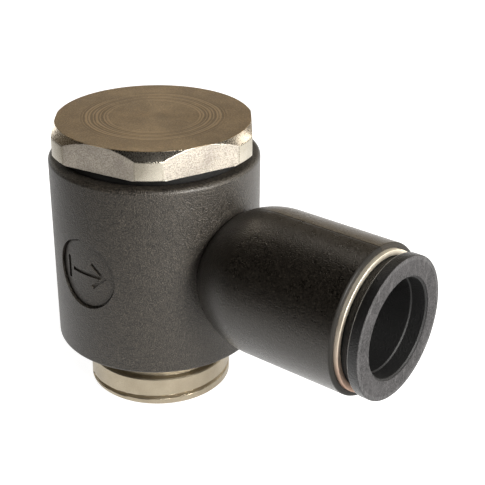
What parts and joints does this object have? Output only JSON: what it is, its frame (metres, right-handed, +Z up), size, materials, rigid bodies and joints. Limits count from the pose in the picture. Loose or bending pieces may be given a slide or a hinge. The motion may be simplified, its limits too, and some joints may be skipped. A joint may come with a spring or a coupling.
{
  "type": "flow control valve",
  "caption": "Compact banjo flow control valve: hexagon-head hollow bolt through a turning black body with a side push-in tube socket, and a check poppet with a metering jet.",
  "frame": {"origin": "centre of the body's underside, which seats on the port face", "axes": "+Z up the bolt to its hexagon head, -Z out of the threaded stud into the port, +X out along the tube socket, +Y across"},
  "size_m": [0.0351, 0.0186, 0.0257],
  "materials": {
    "black_nylon": "moulded glass-filled nylon, fine matte grain",
    "nickel_plate": "nickel-plated turned brass, warm satin",
    "pale_acetal": "natural acetal, smooth matte",
    "nitrile": "black nitrile rubber",
    "plain_brass": "plain turned brass",
    "stainless": "spring stainless steel",
    "grey_acetal": "dark grey acetal, fine matte"
  },
  "bodies": {
    "bolt": {"banjo_bolt": "nickel_plate", "thrust_washer": "black_nylon", "upper_o_ring": "nitrile", "lower_o_ring": "nitrile", "valve_seat": "plain_brass", "seat_o_ring": "nitrile", "check_spring": "stainless", "spring_guide": "plain_brass", "retaining_clip": "stainless"},
    "body": {"valve_body": "black_nylon", "port_seal": "nitrile", "tube_seal": "nitrile", "seal_spacer": "pale_acetal", "grip_ring": "stainless", "cartridge_sleeve": "nickel_plate"},
    "collar": {"release_collar": "grey_acetal"},
    "poppet": {"poppet": "plain_brass", "poppet_seal": "nitrile", "metering_jet": "plain_brass", "jet_screen": "stainless"}
  },
  "joints": [
    {"name": "body_swivel", "type": "hinge", "parent": "bolt", "child": "body", "pos_m": [0, 0, 0], "axis": [0, 0, 1], "continuous": true},
    {"name": "collar_slide", "type": "slide", "parent": "body", "child": "collar", "axis": [-1, 0, 0], "range_m": [0, 0.0008], "stiffness_N_per_m": 1500, "springref_m": -0.0004},
    {"name": "poppet_slide", "type": "slide", "parent": "bolt", "child": "poppet", "axis": [0, 0, -1], "range_m": [0, 0.0012], "stiffness_N_per_m": 400, "springref_m": -0.0015, "deforming": ["check_spring"]}
  ]
}
